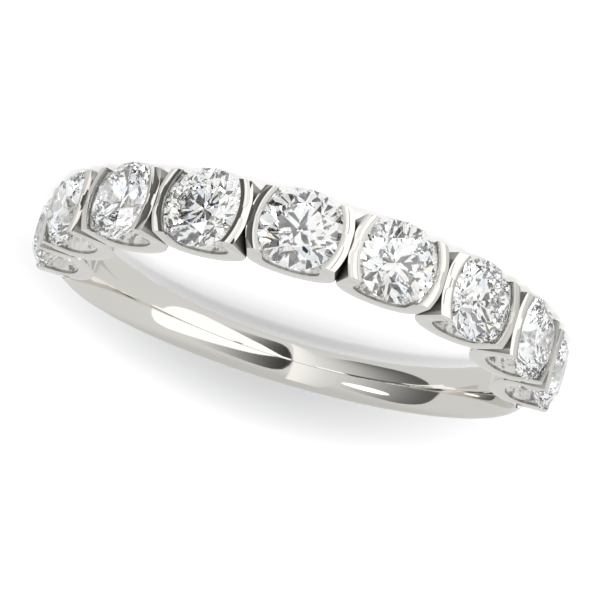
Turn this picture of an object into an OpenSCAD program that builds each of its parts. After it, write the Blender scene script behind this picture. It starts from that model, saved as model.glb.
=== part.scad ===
// Ring with nine round stones, each held between two curved bars and open at both sides.
// The finger runs along Z, the middle stone faces -Y and the plain shank is on the +Y side.

/* [Stones] */
// Diameter of each round stone at its girdle
stone_d = 3.08; // [2.8:0.02:3.3]
// Clearance between a stone and the metal that holds it
stone_gap = 0.03; // [0.02:0.01:0.05]
// Slope of the main crown facets in degrees
crown_angle = 34.5; // [32:0.5:36]
// Slope of the main pavilion facets in degrees
pavilion_angle = 40.75; // [40:0.25:41.5]
// Width of the table as a share of the stone's diameter
table_share = 0.56; // [0.53:0.01:0.6]
// Height of the girdle
girdle_h = 0.06; // [0.04:0.01:0.1]

/* [Settings] */
// Width of a setting along the finger
setting_w = 2.46; // [2.3:0.02:2.7]
// Height of a setting from its back to the bar tops
setting_h = 2.3; // [2.2:0.05:2.5]
// How far a bar's edge closes over the stone's girdle
bar_bite = 0.04; // [0.03:0.01:0.06]
// Width of the flat strip on top of a bar
strip_w = 0.18; // [0.12:0.01:0.2]
// Width of the sloping outer part of a bar's top
bevel_w = 0.25; // [0.22:0.01:0.32]
// Drop of that slope
bevel_drop = 0.12; // [0.08:0.01:0.16]
// Depth of the girdle's lower edge below the bar tops
girdle_drop = 0.25; // [0.22:0.01:0.3]
// Half the gap between two bars' ends as a share of the stone's radius
mouth_share = 0.745; // [0.7:0.005:0.78]
// How far a bar's round side is trimmed flat where its neighbour stands
side_trim = 0.02; // [0.01:0.005:0.04]
// Hairline gap between neighbouring settings
slit_w = 0.02; // [0.01:0.01:0.04]
// Thickness of the solder seam that bridges it
seam_t = 0.1; // [0.06:0.02:0.2]
// Width of that seam along the finger
seam_w = 0.6; // [0.4:0.05:0.8]
// Metal left behind the opening under each stone
back_wall = 0.62; // [0.5:0.02:0.7]
// Width of that opening as a share of the gap between the bars' ends
open_share = 0.94; // [0.9:0.01:0.96]

/* [Finger hole] */
// Width of the hole from the middle setting's back to the inside of the shank
hole_d = 16.55; // [15.6:0.05:18.8]
// How far the shank's circle is moved away from the middle stone
shank_shift = 0.2; // [0.1:0.05:0.3]
// Step from the end settings' backs out to the inside of the shank
shank_step = 0.65; // [0.5:0.05:0.7]

/* [Shank] */
// Width of the shank at its narrowest, opposite the middle stone
shank_w = 1.84; // [1.6:0.04:2.1]
// Thickness of the shank
shank_t = 1.16; // [1:0.02:1.3]
// Gain in the shank's width on its way to the settings
shank_flare = 0.94; // [0.8:0.02:1]
// Slope of the shank's inside, from the fine ridge along its middle down to both rounded edges
ridge_slope = 9.5; // [8:0.5:11]

/* [Hidden] */
$fn = 96;
STONE_COUNT = 9;
middle = (STONE_COUNT + 1) / 2;

// Shapes of the stones' facets, as shares of the stone's radius.
star_share = 0.78;
lower_share = 0.24;

// Height of an oval as a share of its width, and the step where a straight wall goes on from it.
oval_rise = 0.66;
wall_step = 0.02;

// How far down a setting's rounded back the bars begin, and how far the seam stays inside the bars.
bars_share = 0.9;
seam_inset = 0.1;

// Radii, all measured from the centre of the settings' circle.
back_r = (hole_d - shank_step - shank_shift) / 2;
bar_top_r = back_r + setting_h;
bevel_r = bar_top_r - bevel_drop;

// Stone: heights are measured from the lower edge of the girdle.
stone_r = stone_d / 2;
girdle_r = bar_top_r - girdle_drop;
table_r = stone_r * table_share;
crown_h = (stone_r - table_r) * tan(crown_angle);
pavilion_h = stone_r * tan(pavilion_angle);
star_r = stone_r * star_share;
lower_r = stone_r * lower_share;

// Bars: concentric arcs about a centre that lies across the stone.
half_w = setting_w / 2;
bar_in_mid = stone_r - bar_bite;
bar_in_end = stone_r * mouth_share;
bar_sag = bar_in_mid - bar_in_end;
bar_in_arc = (pow(half_w, 2) + pow(bar_sag, 2)) / (2 * bar_sag);
arc_centre = bar_in_arc - bar_in_mid;
bar_strip_arc = bar_in_arc + strip_w;
bar_out_arc = bar_strip_arc + bevel_w;
bar_out_mid = bar_out_arc - arc_centre;
bar_out_end = sqrt(pow(bar_out_arc, 2) - pow(half_w, 2)) - arc_centre;
pitch = 2 * atan((bar_out_mid - side_trim) / bevel_r);

// Setting: its back and the opening behind the stone are ovals seen from the side.
cup_half = bar_out_end - wall_step;
cup_rise = cup_half * oval_rise;
open_half = bar_in_end * open_share;
open_rise = open_half * oval_rise;
open_mid_r = back_r + back_wall + open_rise;
bars_floor_r = back_r + bars_share * cup_rise;
seam_floor_r = bars_floor_r + 3 * seam_inset;
seam_top_r = bevel_r - seam_inset;

// Shank: two rounded hoops, tilted apart so that they spread towards the settings. They stand a little
// further in than the ridge, which is then cut from them.
shank_in_r = back_r + shank_step;
ridge_r = shank_in_r + shank_shift;
hoop_split = 0.04;
hoop_trim = 0.03;
hoop_half_w = (shank_w - hoop_split) / 2;
hoop_half_t = shank_t / 2;
hoop_r = shank_in_r - hoop_trim + hoop_half_t;
hoop_tilt = asin(shank_flare / 2 / hoop_r);
hoop_lift = (shank_w + shank_flare) / 2 - hoop_half_w;
end_turn = (middle - 1) * pitch;
shank_root = (bar_out_end + open_half) / 2;
reach = 2 * bar_top_r;

// Oval, half_x by half_y.
module oval(half_x, half_y) {
    scale([1, half_y / half_x]) circle(half_x);
}

// Turns children to the place of a stone, numbered from the +X end.
module at_stone(number) {
    rotate([0, 0, (middle - number) * pitch]) children();
}

// Stands children up on the radius, with their own Z pointing away from the finger.
module outwards() {
    rotate([90, 0, 0]) children();
}

// Post with a sloping rim, whose round side is the outer face of one bar.
module bar_post(side) {
    outwards() translate([side * arc_centre, 0, 0]) {
        cylinder(r = bar_out_arc, h = bevel_r);
        translate([0, 0, bevel_r]) cylinder(r1 = bar_out_arc, r2 = bar_strip_arc, h = bevel_drop);
    }
}

// The two bars of one setting and what lies between them, kept half a slit away from the neighbours.
module bars() {
    lean = tan(pitch / 2);
    intersection() {
        bar_post(-1);
        bar_post(1);
        translate([0, 0, -half_w]) linear_extrude(setting_w) polygon([
            [bars_floor_r * lean - slit_w / 2, -bars_floor_r],
            [reach * lean - slit_w / 2, -reach],
            [slit_w / 2 - reach * lean, -reach],
            [slit_w / 2 - bars_floor_r * lean, -bars_floor_r]]);
    }
}

// Seam of solder between two neighbouring settings.
module seam() {
    translate([-seam_t / 2, -seam_top_r, -seam_w / 2]) cube([seam_t, seam_top_r - seam_floor_r, seam_w]);
}

// Rounded back of one setting, towards the finger.
module cup() {
    translate([0, 0, -half_w]) linear_extrude(setting_w)
        translate([0, -back_r - cup_rise]) oval(cup_half, cup_rise);
}

// Opening that runs straight through under the stone, from side to side.
module side_opening() {
    neck = open_half - wall_step;
    translate([0, 0, -setting_w]) linear_extrude(2 * setting_w) {
        translate([0, -open_mid_r]) oval(open_half, open_rise);
        translate([-neck, -reach]) square([2 * neck, reach - open_mid_r]);
    }
}

// Round room bounded by the inner face of one bar, above the girdle.
module bar_room(side) {
    outwards() translate([side * arc_centre, 0, girdle_r]) cylinder(r = bar_in_arc, h = reach);
}

// Room between the two bars above the girdle.
module between_bars() {
    intersection() {
        bar_room(-1);
        bar_room(1);
    }
}

// Seat cut to the stone's round outline with clearance all round.
module seat() {
    room_r = stone_r + stone_gap;
    under = stone_gap / cos(pavilion_angle);
    over = girdle_r + girdle_h + stone_gap;
    crown_top = over + (room_r - table_r) * tan(crown_angle);
    outwards() rotate_extrude() polygon([
        [0, girdle_r - pavilion_h - under],
        [room_r, girdle_r - under + stone_gap * tan(pavilion_angle)],
        [room_r, over],
        [table_r, crown_top],
        [0, crown_top]]);
}

// Hoop that leans up towards the settings.
module leaning_hoop() {
    translate([0, shank_shift, hoop_lift]) rotate([-hoop_tilt, 0, 0])
        rotate_extrude() translate([hoop_r, 0]) rotate(90) oval(hoop_half_w, hoop_half_t);
}

// Upper half of the shank, cut off inside the outer walls of the two end settings.
module half_shank() {
    root_y = shank_root / sin(end_turn);
    side_y = root_y - reach / tan(end_turn);
    intersection() {
        leaning_hoop();
        linear_extrude(setting_w)
            polygon([[-reach, side_y], [0, root_y], [reach, side_y], [reach, reach], [-reach, reach]]);
    }
}

// Two cones that meet on a circle round the finger, where they leave the shank's fine ridge.
module ridge_cones() {
    cone_h = setting_w / 2;
    wide_r = ridge_r + cone_h * tan(ridge_slope);
    rotate_extrude()
        polygon([[0, -cone_h], [wide_r, -cone_h], [ridge_r, 0], [wide_r, cone_h], [0, cone_h]]);
}

// Shank: two rounded halves that spread apart towards the settings, with the ridge along its inside.
module shank() {
    difference() {
        union() {
            half_shank();
            mirror([0, 0, 1]) half_shank();
        }
        ridge_cones();
    }
}

// One cast piece: the shank and all nine settings.
module band() {
    color("silver") difference() {
        union() {
            shank();
            for (number = [1:STONE_COUNT]) at_stone(number) {
                bars();
                cup();
            }
            for (number = [1:STONE_COUNT - 1]) at_stone(number + 0.5) seam();
        }
        for (number = [1:STONE_COUNT]) at_stone(number) {
            side_opening();
            between_bars();
            seat();
        }
    }
}

// Ring of points about the radius: count, radius, height and first angle.
function ring(count, radius, height, start) =
    [for (i = [0:count - 1]) let (a = start + i * 360 / count) [radius * cos(a), radius * sin(a), height]];

// Round brilliant: table, 8 stars, 8 kites, 16 upper facets, girdle, 16 lower facets and 8 mains.
module brilliant() {
    half_step = 360 / 16;
    star_h = girdle_h + (stone_r - star_r * cos(half_step)) * tan(crown_angle);
    lower_h = -(stone_r - lower_r * cos(half_step)) * tan(pavilion_angle);
    points = concat(
        ring(8, table_r, girdle_h + crown_h, 0),
        ring(8, star_r, star_h, half_step),
        ring(16, stone_r, girdle_h, 0),
        ring(16, stone_r, 0, 0),
        ring(8, lower_r, lower_h, half_step),
        [[0, 0, -pavilion_h]]);
    table = 0;
    star = 8;
    upper = 16;
    lower = 32;
    inner = 48;
    culet = 56;
    faces = concat(
        [[for (i = [7:-1:0]) table + i]],
        [for (i = [0:7]) [table + i, table + (i + 1) % 8, star + i]],
        [for (i = [0:7]) [star + (i + 7) % 8, table + i, star + i, upper + 2 * i]],
        [for (i = [0:7]) [upper + 2 * i, star + i, upper + 2 * i + 1]],
        [for (i = [0:7]) [upper + 2 * i + 1, star + i, upper + (2 * i + 2) % 16]],
        [for (i = [0:15]) [upper + i, upper + (i + 1) % 16, lower + (i + 1) % 16, lower + i]],
        [for (i = [0:7]) [lower + 2 * i, lower + 2 * i + 1, inner + i]],
        [for (i = [0:7]) [lower + 2 * i + 1, lower + (2 * i + 2) % 16, inner + i]],
        [for (i = [0:7]) [inner + (i + 7) % 8, lower + 2 * i, inner + i, culet]]);
    polyhedron(points, faces, convexity = 2);
}

module stone(number) {
    color("aliceblue") at_stone(number) outwards() translate([0, 0, girdle_r]) brilliant();
}

band();
stone(1);  // stone_1
stone(2);  // stone_2
stone(3);  // stone_3
stone(4);  // stone_4
stone(5);  // stone_5
stone(6);  // stone_6
stone(7);  // stone_7
stone(8);  // stone_8
stone(9);  // stone_9
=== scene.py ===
# Ring with nine round stones, each held between two curved bars, lying on its side in a pale studio.
import math

import bmesh
import bpy
from mathutils import Matrix, Vector


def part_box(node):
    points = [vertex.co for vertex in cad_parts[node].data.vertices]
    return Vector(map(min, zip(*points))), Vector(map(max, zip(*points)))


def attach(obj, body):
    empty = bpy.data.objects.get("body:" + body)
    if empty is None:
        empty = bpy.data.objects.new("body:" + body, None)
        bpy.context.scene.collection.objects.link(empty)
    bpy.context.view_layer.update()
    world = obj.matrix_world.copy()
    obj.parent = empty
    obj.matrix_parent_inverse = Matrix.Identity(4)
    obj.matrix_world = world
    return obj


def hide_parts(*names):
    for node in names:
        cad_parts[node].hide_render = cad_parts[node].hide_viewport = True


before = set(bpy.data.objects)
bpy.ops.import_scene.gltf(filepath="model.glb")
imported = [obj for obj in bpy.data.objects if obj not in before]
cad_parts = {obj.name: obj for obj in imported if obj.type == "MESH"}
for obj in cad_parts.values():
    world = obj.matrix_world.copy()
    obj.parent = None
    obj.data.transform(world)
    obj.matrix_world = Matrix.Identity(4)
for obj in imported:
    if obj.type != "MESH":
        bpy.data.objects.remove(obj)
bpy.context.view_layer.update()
mm = 0.001
weld = 1e-8  # points closer than this are one point
stoneNames = sorted(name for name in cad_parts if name.startswith("stone_"))
print("frame loaded with", len(stoneNames), "stones")


# nodes: one method adds any node, one small class lets sockets take part in Python sums
def addNode(tree, kind, settings=None, sockets=None):
    node = tree.nodes.new(kind)
    for name, value in (settings or {}).items():
        setattr(node, name, value)
    for name, value in (sockets or {}).items():
        if isinstance(value, Wire):
            tree.links.new(value.socket, node.inputs[name])
        else:
            node.inputs[name].default_value = value
    return node


class Wire:
    def __init__(self, socket):
        self.socket = socket

    def sum(self, operation, *others):
        values = dict(enumerate((self,) + others))
        node = addNode(self.socket.id_data, "ShaderNodeMath", {"operation": operation}, values)
        return Wire(node.outputs[0])

    def __add__(self, other):
        return self.sum("ADD", other)

    def __sub__(self, other):
        return self.sum("SUBTRACT", other)

    def __rsub__(self, other):
        return self.sum("MULTIPLY_ADD", -1.0, other)

    def __mul__(self, other):
        return self.sum("MULTIPLY", other)

    def __truediv__(self, other):
        return self.sum("DIVIDE", other)

    def __pow__(self, other):
        return self.sum("POWER", other)

    def __rpow__(self, other):
        node = addNode(self.socket.id_data, "ShaderNodeMath", {"operation": "POWER"},
                       {0: other, 1: self})
        return Wire(node.outputs[0])

    def __neg__(self):
        return self.sum("MULTIPLY", -1.0)

    __radd__ = __add__
    __rmul__ = __mul__


# small helpers for the nodes that the materials share
def noise(tree, place, scale, detail):
    sockets = {"Vector": place, "Scale": scale, "Detail": detail}
    return Wire(addNode(tree, "ShaderNodeTexNoise", None, sockets).outputs["Fac"])


def pointValue(tree, name):
    return Wire(addNode(tree, "ShaderNodeAttribute", {"attribute_name": name}).outputs["Fac"])


def objectPlace(tree):
    return Wire(addNode(tree, "ShaderNodeTexCoord").outputs["Object"])


def mixTones(tree, share, first, last):
    # each tone is a colour or the output of another mix
    sockets = {0: share}
    for slot, tone in ((6, first), (7, last)):
        sockets[slot] = tone if isinstance(tone, Wire) else tone + (1,)
    return Wire(addNode(tree, "ShaderNodeMix", {"data_type": "RGBA"}, sockets).outputs[2])


def newMaterial(name):
    material = bpy.data.materials.new(name)
    material.use_nodes = True
    tree = material.node_tree
    return material, tree, tree.nodes["Principled BSDF"]


# one setting, worked out in millimetres: a cup open at both sides with two curved bars
setting = {
    "width": 2.46, "backRadius": 7.85, "height": 2.3,
    "stoneRadius": 1.54, "clearance": 0.03, "barBite": 0.04, "mouthShare": 0.745,
    "stripWidth": 0.18, "bevelWidth": 0.25, "bevelDrop": 0.12, "sideTrim": 0.02,
    "girdleDrop": 0.25, "girdleHeight": 0.06, "pavilionAngle": math.radians(40.75),
    "seatStep": 0.004, "backWall": 0.62, "openShare": 0.94, "ovalRise": 0.66,
    "slit": 0.02, "polishedLip": 0.03, "slices": 26, "wallSteps": 7, "roundSteps": 16,
    "edgeRound": 0.022, "edgeSegments": 2, "sharpFrom": math.radians(28),
}
halfWidth = setting["width"] / 2
topRadius = setting["backRadius"] + setting["height"]
bevelRadius = topRadius - setting["bevelDrop"]
girdleRadius = topRadius - setting["girdleDrop"]
innerMid = setting["stoneRadius"] - setting["barBite"]
innerEnd = setting["stoneRadius"] * setting["mouthShare"]
innerSag = innerMid - innerEnd
innerArc = (halfWidth ** 2 + innerSag ** 2) / (2 * innerSag)
arcCentre = innerArc - innerMid
stripArc = innerArc + setting["stripWidth"]
outerArc = stripArc + setting["bevelWidth"]
pitch = 2 * math.atan((outerArc - arcCentre - setting["sideTrim"]) / bevelRadius)


def acrossAt(arc, z):
    return math.sqrt(arc ** 2 - z ** 2) - arcCentre


def outerHalf(z):
    # right half of a slice's outside, from the bar's top down to the middle of the back
    side = acrossAt(outerArc, z)
    lean = math.tan(pitch / 2)
    endHalf = acrossAt(outerArc, halfWidth)
    rise = endHalf * setting["ovalRise"]
    widest = setting["backRadius"] + rise
    gap = setting["slit"] / 2
    points = [(acrossAt(stripArc, z), topRadius), (min(side, bevelRadius * lean - gap), bevelRadius)]
    below = bevelRadius - setting["polishedLip"]
    for i in range(setting["wallSteps"] - 1):
        radius = below + (widest - below) * i / (setting["wallSteps"] - 1)
        points.append((min(side, radius * lean - gap), radius))
    baseHalf = min(side, widest * lean - gap)
    for i in range(setting["roundSteps"] + 1):
        turn = math.pi / 2 * i / setting["roundSteps"]
        points.append((baseHalf * math.cos(turn), widest - rise * math.sin(turn)))
    return points


def innerHalf(z):
    # right half of a slice's inside: the bar's face, the stone's seat and the opening under it
    seatRadius = setting["stoneRadius"] + setting["clearance"]
    bar = acrossAt(innerArc, z)
    groove = max(bar + setting["seatStep"], math.sqrt(max(seatRadius ** 2 - z ** 2, 0)))
    openHalf = innerEnd * setting["openShare"]
    seatTop = girdleRadius + setting["girdleHeight"] + setting["clearance"]
    seatFloor = girdleRadius - setting["clearance"]
    points = [(bar, topRadius), (bar, seatTop), (groove, seatTop)]
    for i in range(setting["wallSteps"]):
        across = groove + (openHalf - groove) * i / (setting["wallSteps"] - 1)
        below = seatRadius - min(seatRadius, math.hypot(across, z))
        points.append((across, seatFloor - below * math.tan(setting["pavilionAngle"])))
    rise = openHalf * setting["ovalRise"]
    middle = setting["backRadius"] + setting["backWall"] + rise
    steps = setting["roundSteps"] - 2  # gives the inside as many points as the outside
    for i in range(steps + 1):
        turn = math.pi / 2 * i / steps
        points.append((openHalf * math.cos(turn), middle - rise * math.sin(turn)))
    return points


def mirrored(half):
    return half + [(-across, radius) for across, radius in reversed(half[:-1])]


# painted shade in the metal's crevices, where the polisher can't reach: there the metal is painted darker and
# is rougher; 0 where it shines, 1 deep between neighbours
shadeAndDullness = {"barFace": (0.45, 0.9, 0.8), "bevelPoints": 2, "wallTop": 0.6, "rimSlices": 3, "rim": 0.8}


def creviceShare(depth, inside):
    # depth counts a slice's points from the bar's top
    if inside:
        return shadeAndDullness["barFace"][depth] if depth < len(shadeAndDullness["barFace"]) else 0.0
    first = shadeAndDullness["bevelPoints"]
    deepest = setting["wallSteps"] + 1
    if not first <= depth <= deepest + 2:
        return 0.0
    return min(1.0, shadeAndDullness["wallTop"] + (1.0 - shadeAndDullness["wallTop"]) * (depth - first) / (deepest - first))


def buildSetting():
    mesh = bmesh.new()
    paintedShadeAndDull = mesh.verts.layers.float.new("paintedShadeAndDull")
    paintedLightAndSatin = mesh.verts.layers.float.new("paintedLightAndSatin")
    rings = []
    for i in range(setting["slices"] + 1):
        z = -halfWidth * math.cos(math.pi * i / setting["slices"])
        rim = min(i, setting["slices"] - i) <= shadeAndDullness["rimSlices"]
        rows = []
        for inside, row in enumerate((mirrored(outerHalf(z)), mirrored(innerHalf(z)))):
            rows.append([mesh.verts.new((x * mm, -radius * mm, z * mm)) for x, radius in row])
            if not 0 < i < setting["slices"]:
                continue
            for k, point in enumerate(rows[-1]):
                depth = min(k, len(row) - 1 - k)
                cut = inside and depth >= len(shadeAndDullness["barFace"])
                # painted shade: points between neighbours, on the bars' faces and round the cups' rims get a
                # darker tone
                point[paintedShadeAndDull] = shadeAndDullness["rim"] if cut and rim else creviceShare(depth, inside)
                # painted light: the rest of the cups' insides get a paler tone, as if lit through the stones,
                # and a satin finish
                point[paintedLightAndSatin] = 1.0 - point[paintedShadeAndDull] if cut else 0.0
        rings.append(rows)
    count = len(rings[0][0])
    for (outerA, innerA), (outerB, innerB) in zip(rings, rings[1:]):
        for i in range(count - 1):
            mesh.faces.new((outerA[i], outerA[i + 1], outerB[i + 1], outerB[i]))
            mesh.faces.new((innerA[i], innerB[i], innerB[i + 1], innerA[i + 1]))
        for i in (0, count - 1):
            mesh.faces.new((outerA[i], outerB[i], innerB[i], innerA[i]))
    for outer, inner in (rings[0], rings[-1]):
        for i in range(count - 1):
            mesh.faces.new((outer[i], inner[i], inner[i + 1], outer[i + 1]))
    bmesh.ops.remove_doubles(mesh, verts=mesh.verts, dist=weld)
    bmesh.ops.recalc_face_normals(mesh, faces=mesh.faces)
    data = bpy.data.meshes.new("setting")
    mesh.to_mesh(data)
    mesh.free()
    piece = bpy.data.objects.new("setting", data)
    bpy.context.scene.collection.objects.link(piece)
    return piece


# polished white metal: faint drift in tone, polish that isn't quite even, hair-fine marks, painted shade in
# the crevices and painted light and reflections inside the cups;
# drift, rub, markNoise and spots are a noise's scale and detail
metalLook = {
    "tone": (0.775, 0.755, 0.715), "shade": (0.75, 0.73, 0.685), "drift": (260.0, 3.0),
    "roughLow": 0.035, "roughHigh": 0.075, "rub": (900.0, 4.0),
    "marks": 0.05, "markDepth": 0.4e-6, "markStretch": (4000.0, 4000.0, 26000.0), "markNoise": (1.0, 2.0),
    # the crevice tone is painted shade
    "paintedCreviceShade": (0.16, 0.156, 0.148), "creviceRough": 0.3,
    # the bright tone is painted light inside the cups
    "paintedCupLight": (0.93, 0.925, 0.905), "brightRough": 0.2, "brightSatin": 0.18,
    # the spot tone is a painted reflection
    "spotTone": (0.30, 0.29, 0.27), "spots": (3500.0, 2.0),
    "spotFrom": 0.53, "spotEdge": 14.0, "spotMost": 0.85,
}


def polishedMetal():
    look = metalLook
    material, tree, shader = newMaterial("polishedMetal")
    place = objectPlace(tree)
    paintedShadeAndDull = pointValue(tree, "paintedShadeAndDull")
    paintedLightAndSatin = pointValue(tree, "paintedLightAndSatin")
    tone = mixTones(tree, noise(tree, place, *look["drift"]), look["tone"], look["shade"])
    # painted shade darkens the crevices between neighbours, the bars' faces and the cups' rims
    tone = mixTones(tree, paintedShadeAndDull, tone, look["paintedCreviceShade"])
    # inside the cups the metal is painted pale as if lit through the stones, with small dark spots painted in
    # for the stone's underside mirrored in it
    spots = (noise(tree, place, *look["spots"]) - look["spotFrom"]) * look["spotEdge"]
    spots = spots.sum("MAXIMUM", 0.0).sum("MINIMUM", look["spotMost"])
    spotted = mixTones(tree, spots, look["paintedCupLight"], look["spotTone"])
    # painted light: the cups' insides take the pale tone
    tone = mixTones(tree, paintedLightAndSatin, tone, spotted)
    tree.links.new(tone.socket, shader.inputs["Base Color"])
    rubbed = noise(tree, place, *look["rub"])
    rough = look["roughLow"] + rubbed * (look["roughHigh"] - look["roughLow"])
    rough = rough + paintedShadeAndDull * look["creviceRough"] + paintedLightAndSatin * look["brightRough"]
    tree.links.new(rough.socket, shader.inputs["Roughness"])
    tree.links.new((1.0 - paintedLightAndSatin * look["brightSatin"]).socket, shader.inputs["Metallic"])
    stretch = addNode(tree, "ShaderNodeMapping", None, {"Vector": place, "Scale": look["markStretch"]})
    bump = addNode(tree, "ShaderNodeBump", None, {
        "Height": noise(tree, Wire(stretch.outputs["Vector"]), *look["markNoise"]),
        "Strength": look["marks"], "Distance": look["markDepth"]})
    tree.links.new(bump.outputs["Normal"], shader.inputs["Normal"])
    return material


# colourless stone: clear, strongly bending, with a breath of tint that changes from place to place
stoneLook = {
    "cool": (0.93, 0.97, 1.0), "clear": (1.0, 1.0, 1.0), "warm": (1.0, 0.985, 0.94),
    "coolAt": 0.36, "clearAt": 0.5, "warmAt": 0.64, "tint": (1400.0, 1.0), "bend": 2.417,
}


def colourlessStone():
    look = stoneLook
    material, tree, shader = newMaterial("colourlessStone")
    shader.inputs["Roughness"].default_value = 0.0
    shader.inputs["IOR"].default_value = look["bend"]
    shader.inputs["Transmission Weight"].default_value = 1.0
    tint = noise(tree, objectPlace(tree), *look["tint"])
    ramp = addNode(tree, "ShaderNodeValToRGB", None, {"Fac": tint})
    stops = ramp.color_ramp.elements
    stops[0].position, stops[0].color = look["coolAt"], look["cool"] + (1,)
    stops[1].position, stops[1].color = look["warmAt"], look["warm"] + (1,)
    stops.new(look["clearAt"]).color = look["clear"] + (1,)
    tree.links.new(ramp.outputs["Color"], shader.inputs["Base Color"])
    return material


# the shank and the row of settings, which a node tree lays out round the finger
shank = {
    "Innermost": 8.50, "Centre": 0.2, "Middle": 9.043, "Outermost": 9.60,
    "Half width": 0.92, "Width gain": 0.47, "Inner gain": 0.2, "Ridge slope": 0.167, "Flat depth": 0.045,
}
shankForm = {
    "halfTurn": math.radians(85.6), "pointsRound": 181, "pointsSection": 97, "bunching": 1.1,
    "closedFrom": 0.999, "flatFrom": 0.27, "flatGrows": 0.31,
}
seam = {"thickness": 0.1, "width": 0.6, "from": 9.1, "to": 9.93}


def shankUnit(name):
    return 1.0 if name == "Ridge slope" else mm


def addInput(tree, name, kind, value=None):
    item = tree.interface.new_socket(name, in_out="INPUT", socket_type=kind)
    if value is not None:
        item.default_value = value


def placesRound(tree, count, turn):
    # points at the origin, each with its own turn about the finger's axis
    line = addNode(tree, "GeometryNodeMeshLine", None, {"Count": count, "Offset": (0.0, 0.0, 0.0)})
    index = Wire(addNode(tree, "GeometryNodeInputIndex").outputs[0])
    angle = (index - (count - 1.0) * 0.5) * turn
    euler = addNode(tree, "ShaderNodeCombineXYZ", None, {"Z": angle})
    rotation = addNode(tree, "FunctionNodeEulerToRotation", None, {0: Wire(euler.outputs[0])})
    return Wire(line.outputs["Mesh"]), Wire(rotation.outputs[0])


def shankSurface(tree, sizes):
    # a grid rolled into the shank: its long side runs round the finger, its short side round the section
    form = shankForm
    grid = addNode(tree, "GeometryNodeMeshGrid", None, {
        "Size X": 2.0, "Size Y": 2.0,
        "Vertices X": form["pointsRound"], "Vertices Y": form["pointsSection"]})
    spot = addNode(tree, "ShaderNodeSeparateXYZ", None,
                   {0: Wire(addNode(tree, "GeometryNodeInputPosition").outputs[0])})
    along, around = Wire(spot.outputs[0]), Wire(spot.outputs[1])
    theta = along * form["halfTurn"]
    share = around.sum("ABSOLUTE")
    side = around.sum("SIGN")
    nearSettings = 1.0 - theta.sum("COSINE")  # 0 in the middle of the shank
    turn = math.pi * share ** form["bunching"]
    width = sizes["Half width"] + sizes["Width gain"] * nearSettings
    height = width * turn.sum("SINE")
    inside = turn.sum("LESS_THAN", math.pi / 2)
    ridge = sizes["Ridge slope"] * width * inside
    innermost = sizes["Innermost"] + sizes["Inner gain"] * nearSettings
    thick = inside * (sizes["Middle"] - innermost)
    thick = thick + (1.0 - inside) * (sizes["Outermost"] - sizes["Middle"])
    # the last row of each end shrinks to a point
    spread = along.sum("ABSOLUTE").sum("LESS_THAN", form["closedFrom"])
    dip = (thick - ridge) * turn.sum("COSINE") + ridge * (1.0 - turn.sum("SINE"))
    radius = sizes["Middle"] - spread * dip
    # near the settings the ridge is cut to a narrow flat
    grown = ((nearSettings - form["flatFrom"]) / form["flatGrows"]).sum("MAXIMUM", 0.0)
    radius = radius.sum("MAXIMUM", innermost + sizes["Flat depth"] * grown)
    place = addNode(tree, "ShaderNodeCombineXYZ", None, {
        "X": radius * theta.sum("SINE"),
        "Y": sizes["Centre"] + radius * theta.sum("COSINE"),
        "Z": height * side * spread,
    })
    moved = addNode(tree, "GeometryNodeSetPosition", None,
                    {"Geometry": Wire(grid.outputs["Mesh"]), "Position": Wire(place.outputs[0])})
    merged = addNode(tree, "GeometryNodeMergeByDistance", None,
                     {"Geometry": Wire(moved.outputs[0]), "Distance": weld})
    return Wire(merged.outputs[0])


def bandTree():
    tree = bpy.data.node_groups.new("bandLayout", "GeometryNodeTree")
    addInput(tree, "Setting", "NodeSocketGeometry")
    addInput(tree, "Stones", "NodeSocketInt", len(stoneNames))
    addInput(tree, "Pitch", "NodeSocketFloat", pitch)
    addInput(tree, "Metal", "NodeSocketMaterial")
    for name, size in shank.items():
        addInput(tree, name, "NodeSocketFloat", size * shankUnit(name))
    tree.interface.new_socket("Band", in_out="OUTPUT", socket_type="NodeSocketGeometry")
    given = addNode(tree, "NodeGroupInput").outputs
    sizes = {name: Wire(given[name]) for name in shank}
    count, turn = Wire(given["Stones"]), Wire(given["Pitch"])
    places, rotation = placesRound(tree, count, turn)
    cups = addNode(tree, "GeometryNodeInstanceOnPoints", None,
                   {"Points": places, "Instance": Wire(given["Setting"]), "Rotation": rotation})
    places, rotation = placesRound(tree, count - 1.0, turn)
    block = addNode(tree, "GeometryNodeMeshCube", None, {
        "Size": (seam["thickness"] * mm, (seam["to"] - seam["from"]) * mm, seam["width"] * mm)})
    block = addNode(tree, "GeometryNodeTransform", None, {
        "Geometry": Wire(block.outputs["Mesh"]),
        "Translation": (0.0, -(seam["to"] + seam["from"]) / 2 * mm, 0.0)})
    seams = addNode(tree, "GeometryNodeInstanceOnPoints", None,
                    {"Points": places, "Instance": Wire(block.outputs[0]), "Rotation": rotation})
    join = addNode(tree, "GeometryNodeJoinGeometry")
    for part in (shankSurface(tree, sizes), Wire(seams.outputs[0]), Wire(cups.outputs[0])):
        tree.links.new(part.socket, join.inputs[0])
    real = addNode(tree, "GeometryNodeRealizeInstances", None, {"Geometry": Wire(join.outputs[0])})
    dressed = addNode(tree, "GeometryNodeSetMaterial", None,
                      {"Geometry": Wire(real.outputs[0]), "Material": Wire(given["Metal"])})
    out = addNode(tree, "NodeGroupOutput")
    tree.links.new(dressed.outputs[0], out.inputs[0])
    return tree


def setInput(modifier, name, value):
    for item in modifier.node_group.interface.items_tree:
        if item.name == name and item.in_out == "INPUT":
            modifier[item.identifier] = value


def plainMesh(piece, name):
    # the evaluated piece as a mesh without modifiers
    bpy.context.view_layer.update()
    graph = bpy.context.evaluated_depsgraph_get()
    data = bpy.data.meshes.new_from_object(piece.evaluated_get(graph), depsgraph=graph)
    data.name = name
    result = bpy.data.objects.new(name, data)
    bpy.context.scene.collection.objects.link(result)
    piece.modifiers.clear()
    bpy.data.objects.remove(piece)
    return result


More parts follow.
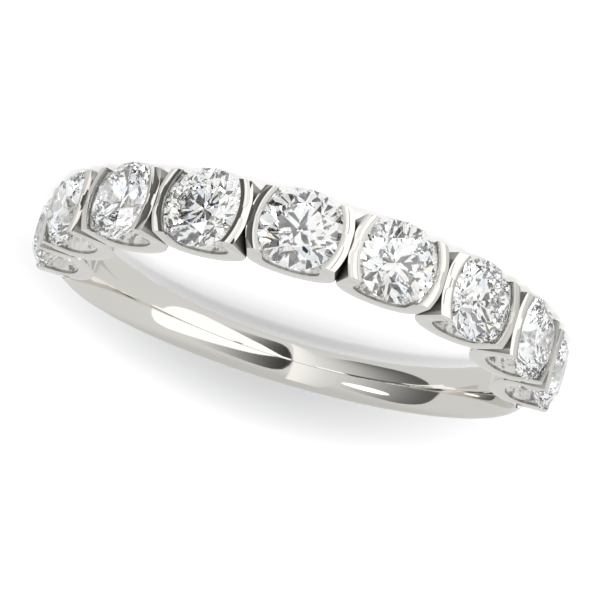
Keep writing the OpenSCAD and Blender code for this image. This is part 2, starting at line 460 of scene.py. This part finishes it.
def buildBand(metal):
    piece = buildSetting()
    layout = piece.modifiers.new("layout", "NODES")
    layout.node_group = bandTree()
    setInput(layout, "Stones", len(stoneNames))
    setInput(layout, "Pitch", pitch)
    setInput(layout, "Metal", metal)
    for name, size in shank.items():
        setInput(layout, name, size * shankUnit(name))
    piece = plainMesh(piece, "ringBand")
    data = bmesh.new()
    data.from_mesh(piece.data)
    bmesh.ops.recalc_face_normals(data, faces=data.faces)
    data.to_mesh(piece.data)
    data.free()
    piece.data.shade_smooth()
    rounding = piece.modifiers.new("rounding", "BEVEL")
    rounding.width = setting["edgeRound"] * mm
    rounding.segments = setting["edgeSegments"]
    rounding.limit_method = "ANGLE"
    rounding.angle_limit = setting["sharpFrom"]
    rounding.miter_outer = "MITER_ARC"
    piece.modifiers.new("evenShade", "WEIGHTED_NORMAL").keep_sharp = False
    return plainMesh(piece, "ringBand")


band = buildBand(polishedMetal())
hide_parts("band")
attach(band, "root")
print("band built with", len(band.data.polygons), "faces")

clearStone = colourlessStone()
for name in stoneNames:
    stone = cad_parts[name].data
    stone.materials.clear()
    stone.materials.append(clearStone)
print("stones dressed")


# studio: a pale floor that carries the soft grey shade along the shank, fading both ways from an arc;
# size in metres, the shade's lengths in millimetres, specks a noise's scale and detail
floorLook = {
    "size": 3.0, "tone": (0.93, 0.93, 0.925), "speckTone": (0.91, 0.91, 0.905), "specks": (900.0, 2.0),
    "rough": 0.9, "gloss": 0.1,
    "shadeTone": (0.30, 0.30, 0.305), "shadeMiddle": (0.93, 17.0), "shadeBend": 18.8,
    "shadeFade": 16.0, "shadeSide": 1.5, "shadeReach": 15.5,
}


def paleFloor():
    look = floorLook
    material, tree, shader = newMaterial("paleFloor")
    place = objectPlace(tree)
    tone = mixTones(tree, noise(tree, place, *look["specks"]), look["tone"], look["speckTone"])
    spot = addNode(tree, "ShaderNodeSeparateXYZ", None, {0: place})
    x, y = (Wire(spot.outputs[k]) / mm - look["shadeMiddle"][k] for k in range(2))
    away = (y + x * x / look["shadeBend"]) / look["shadeFade"]
    aside = (x - look["shadeSide"]) / look["shadeReach"]
    tone = mixTones(tree, 0.5 ** (away * away + aside * aside), tone, look["shadeTone"])
    tree.links.new(tone.socket, shader.inputs["Base Color"])
    shader.inputs["Roughness"].default_value = look["rough"]
    shader.inputs["Specular IOR Level"].default_value = look["gloss"]
    return material


def layFloor():
    half = floorLook["size"] / 2
    height = min(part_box(name)[0].z for name in stoneNames)
    corners = [(-half, -half, height), (half, -half, height), (half, half, height), (-half, half, height)]
    data = bpy.data.meshes.new("floor")
    data.from_pydata(corners, [], [(0, 1, 2, 3)])
    data.materials.append(paleFloor())
    plane = bpy.data.objects.new("floor", data)
    bpy.context.scene.collection.objects.link(plane)
    plane.visible_glossy = False  # the metal and the stones mirror the studio air instead
    plane.visible_transmission = False
    return plane


floor = layFloor()

# brightness of the air round the ring, by compass angle from the front (degrees, left in the picture is plus);
# between the low and the high sine of the height it changes to the ceiling's brightness
airRound = [(-180, 0.80), (-120, 0.80), (-60, 0.86), (0, 0.86), (60, 0.80), (120, 0.78), (180, 0.80)]
airUp = {"low": 0.42, "high": 0.86, "ceiling": 0.68}


def grey(light):
    return (light, light, light)


def studioAir():
    air = bpy.data.worlds.new("studioAir")
    bpy.context.scene.world = air
    air.use_nodes = True
    tree = air.node_tree
    way = addNode(tree, "ShaderNodeSeparateXYZ", None,
                  {0: Wire(addNode(tree, "ShaderNodeTexCoord").outputs["Generated"])})
    x, y, z = (Wire(output) for output in way.outputs)
    compass = x.sum("ARCTAN2", -y) / (2 * math.pi) + 0.5
    ramp = addNode(tree, "ShaderNodeValToRGB", None, {"Fac": compass})
    ramp.color_ramp.interpolation = "B_SPLINE"
    stops = ramp.color_ramp.elements
    for angle, light in airRound[1:-1]:
        stops.new(angle / 360 + 0.5).color = grey(light) + (1,)
    for stop, light in ((stops[0], airRound[0][1]), (stops[-1], airRound[-1][1])):
        stop.color = grey(light) + (1,)
    up = addNode(tree, "ShaderNodeMapRange", {"interpolation_type": "SMOOTHSTEP"},
                 {"Value": z, "From Min": airUp["low"], "From Max": airUp["high"]})
    tone = mixTones(tree, Wire(up.outputs["Result"]), Wire(ramp.outputs["Color"]), grey(airUp["ceiling"]))
    tree.links.new(tone.socket, tree.nodes["Background"].inputs["Color"])


studioAir()

# soft lights: place, size and strength; floorLight brightens the floor, and the ring throws no shadow in it
lamps = {
    "keyLight": ((-0.05, -0.15, 0.20), (0.10, 0.07), 5.0),
    "topLight": ((0.05, 0.05, 0.28), (0.12, 0.12), 2.5),
    "floorLight": ((0.0, -0.22, 0.26), (0.40, 0.20), 9.5),
}


def softLight(name, place, size, strength):
    data = bpy.data.lights.new(name, "AREA")
    data.shape = "RECTANGLE"
    data.size, data.size_y = size
    data.energy = strength * math.pi * size[0] * size[1]
    lamp = bpy.data.objects.new(name, data)
    bpy.context.scene.collection.objects.link(lamp)
    way = Vector((0, 0, 0)) - Vector(place)  # every light looks at the ring
    lamp.matrix_world = Matrix.Translation(place) @ way.to_track_quat("-Z", "Y").to_matrix().to_4x4()
    lamp.visible_glossy = False
    return lamp


lights = {name: softLight(name, *lamp) for name, lamp in lamps.items()}
lights["floorLight"].visible_transmission = False
blockers = bpy.data.collections.new("floorBlockers")
blockers.objects.link(floor)
lights["floorLight"].light_linking.blocker_collection = blockers


# panels on spheres round the ring, the first ones nearest; a panel is rows of compass angle with lowest and
# highest height, its tone at both compass ends, whether metal sees it and whether stones see it
panelMesh = {"nearest": 0.35, "apart": 0.002, "upSteps": 12, "plainSteps": 10, "roundSteps": 20, "rowStep": 2}


def plainRows(compass, height):
    steps = panelMesh["plainSteps"]
    return [(compass[0] + (compass[1] - compass[0]) * i / steps, *height) for i in range(steps + 1)]


def denseRows(rows):
    # fills in rows so that no step is over rowStep degrees, on a smooth curve through the given ones
    dense = []
    for k in range(len(rows) - 1):
        here, there = rows[k], rows[k + 1]
        before, after = rows[max(k - 1, 0)], rows[min(k + 2, len(rows) - 1)]
        count = max(1, math.ceil((there[0] - here[0]) / panelMesh["rowStep"]))
        for i in range(count):
            share = i / count
            row = [here[0] + (there[0] - here[0]) * share]
            for j in (1, 2):
                slopeA, slopeB = (there[j] - before[j]) / 2, (after[j] - here[j]) / 2
                row.append((2 * share ** 3 - 3 * share ** 2 + 1) * here[j]
                           + (share ** 3 - 2 * share ** 2 + share) * slopeA
                           + (3 * share ** 2 - 2 * share ** 3) * there[j]
                           + (share ** 3 - share ** 2) * slopeB)
            dense.append(tuple(row))
    return dense + [rows[-1]]


def roundRows(compass, middle, radius):
    rows = []
    steps = panelMesh["roundSteps"]
    for i in range(steps + 1):
        turn = math.pi * i / steps
        rise = radius * math.sin(turn)
        rows.append(((compass[0] + compass[1]) / 2 - (compass[1] - compass[0]) / 2 * math.cos(turn),
                     middle - rise, middle + rise))
    return rows


cool, warm = (0.82, 0.97, 1.2), (1.2, 1.08, 0.82)
panels = [
    ("brightStreak", roundRows((30, 58), 23, 4), grey(2.5), grey(2.5), True, True),
    ("darkBehindCamera", plainRows((-13, 7), (5, 27)), grey(0.04), grey(0.04), False, True),
    ("cool", plainRows((30, 42), (0, 14)), cool, cool, False, True),
    ("warm", plainRows((-30, -20), (24, 34)), warm, warm, False, True),
    ("cool", plainRows((-60, -50), (-30, -18)), cool, cool, False, True),
    ("warm", plainRows((66, 76), (-24, -12)), warm, warm, False, True),
]
# what the bars' flat tops and bevels mirror: compass from and to, lowest and highest height, light
barCards = [
    (66, 82, -20, -10, 0.1), (98, 115, -17, -14, 0.6), (14, 29, -31, 1, 1.3), (-32, -27, -31, 1, 0.5),
    (31, 46, -31, 1, 0.12), (46, 64, -31, 1, 0.16), (66, 96, -31, 1, 1.2),
]
for start, end, low, high, light in barCards:
    panels.append(("barCard", plainRows((start, end), (low, high)), grey(light), grey(light), True, False))
# what the inside of the shank mirrors, from the wedge at its left end to the long dark patch at its right
panels += [
    ("wedgeCard", denseRows([(-158, -30, -8), (-136, -25, -14), (-112, -19, -17)]),
     grey(0.5), grey(0.68), True, False),
    ("whiteBox", denseRows([(-82, -28, -4), (-81, -42, 10), (-78, -50, 18), (-70, -56, 22),
                            (-45, -55, 21), (-20, -47, 15), (0, -34, 3)]),
     grey(1.4), grey(1.4), True, False),
    ("darkLeft", denseRows([(-62, -58, 28), (-40, -64, 34), (-20, -69, 39), (-9, -68, 38),
                            (-3, -60, 30), (0, -46, 16), (1, -34, 3)]),
     grey(0.84), grey(0.05), True, False),
    ("lightGap", plainRows((1, 26), (-85, 60)), grey(1.2), grey(0.84), True, False),
    ("darkRight", denseRows([(10, -64, 34), (40, -66, 36), (60, -68, 38), (72, -66, 36),
                             (80, -56, 26), (86, -34, 4)]),
     grey(0.9), grey(0.12), True, False),
]
# upright dark strips, which the stones' facets break into their light and dark pattern
strips = {"starts": (-75, -61, -47, -32, -20, 10, 20, 31, 46, 60, 75), "width": 5.5, "height": 46,
          "lean": 12, "light": 0.01}
for k, start in enumerate(strips["starts"]):
    lean = strips["lean"] * (k % 3 - 1)
    rows = plainRows((start, start + strips["width"]), (-strips["height"] + lean, strips["height"] + lean))
    panels.append(("strip", rows, grey(strips["light"]), grey(strips["light"]), False, True))
panels += [
    ("brightSide", plainRows((50, 179), (-75, 75)), grey(1.05), grey(1.4), False, True),
    ("brightSide", plainRows((-179, -50), (-75, 75)), grey(1.6), grey(1.1), False, True),
    ("stoneAir", denseRows([(-180, -89, 89), (0, -89, 89), (180, -89, 89)]),
     grey(0.94), grey(0.94), False, True),
]


def panelGlow(name, rows, first, last):
    material, tree, shader = newMaterial(name)
    shader.inputs["Base Color"].default_value = (0, 0, 0, 1)
    shader.inputs["Specular IOR Level"].default_value = 0.0
    shader.inputs["Emission Strength"].default_value = 1.0
    spot = addNode(tree, "ShaderNodeSeparateXYZ", None, {0: objectPlace(tree)})
    compass = Wire(spot.outputs[0]).sum("ARCTAN2", -Wire(spot.outputs[1]))
    share = addNode(tree, "ShaderNodeMapRange", {"interpolation_type": "SMOOTHSTEP"}, {
        "Value": compass, "From Min": math.radians(rows[0][0]), "From Max": math.radians(rows[-1][0])})
    tone = mixTones(tree, Wire(share.outputs["Result"]), first, last)
    tree.links.new(tone.socket, shader.inputs["Emission Color"])
    return material


def airPanel(distance, name, rows, first, last, forMetal, forStones):
    steps = panelMesh["upSteps"]
    points = []
    for turn, low, high in rows:
        turn = math.radians(turn)
        for i in range(steps + 1):
            up = math.radians(low + (high - low) * i / steps)
            points.append((distance * math.sin(turn) * math.cos(up),
                           -distance * math.cos(turn) * math.cos(up), distance * math.sin(up)))
    row = steps + 1
    faces = [(k * row + i, k * row + i + 1, (k + 1) * row + i + 1, (k + 1) * row + i)
             for k in range(len(rows) - 1) for i in range(steps)]
    data = bpy.data.meshes.new(name)
    data.from_pydata(points, [], faces)
    data.materials.append(panelGlow(name, rows, first, last))
    panel = bpy.data.objects.new(name, data)
    bpy.context.scene.collection.objects.link(panel)
    panel.visible_camera = panel.visible_diffuse = panel.visible_shadow = False
    panel.visible_glossy = forMetal
    panel.visible_transmission = forStones


for k, panel in enumerate(panels):
    airPanel(panelMesh["nearest"] + panelMesh["apart"] * k, *panel)
print("studio set with", len(panels), "panels")

# camera as the photo has it: above the floor, looking 15 degrees down and rolled almost right over;
# angles in degrees, distance and target in millimetres, focal length and frame in pixels
view = {
    "azimuth": -4.38, "elevation": 15.14, "roll": 196.91, "distance": 148.73, "focal": 3896.2,
    "target": (0.0, -0.409, -0.047), "frameWidth": 600, "sensor": 36.0, "near": 0.001, "far": 20.0,
}


def buildCamera():
    azimuth, elevation, roll = (math.radians(view[k]) for k in ("azimuth", "elevation", "roll"))
    back = Vector((math.sin(azimuth) * math.cos(elevation), -math.cos(azimuth) * math.cos(elevation),
                   math.sin(elevation)))
    right = Vector((0, 0, 1)).cross(back).normalized()
    up = back.cross(right)
    rolledRight = right * math.cos(roll) + up * math.sin(roll)
    rolledUp = up * math.cos(roll) - right * math.sin(roll)
    data = bpy.data.cameras.new("camera")
    data.sensor_width = view["sensor"]
    data.lens = view["focal"] * view["sensor"] / view["frameWidth"]
    data.clip_start, data.clip_end = view["near"], view["far"]
    camera = bpy.data.objects.new("camera", data)
    bpy.context.scene.collection.objects.link(camera)
    axes = Matrix((rolledRight, rolledUp, back)).transposed().to_4x4()
    place = Vector(view["target"]) * mm + back * view["distance"] * mm
    camera.matrix_world = Matrix.Translation(place) @ axes
    bpy.context.scene.camera = camera


buildCamera()
# light turns round many times inside a stone before it comes out again
lightTurns = {"max_bounces": 24, "glossy_bounces": 16, "transmission_bounces": 20}
for name, turns in lightTurns.items():
    setattr(bpy.context.scene.cycles, name, turns)
bpy.context.scene.view_settings.view_transform = "Standard"
print("camera set")
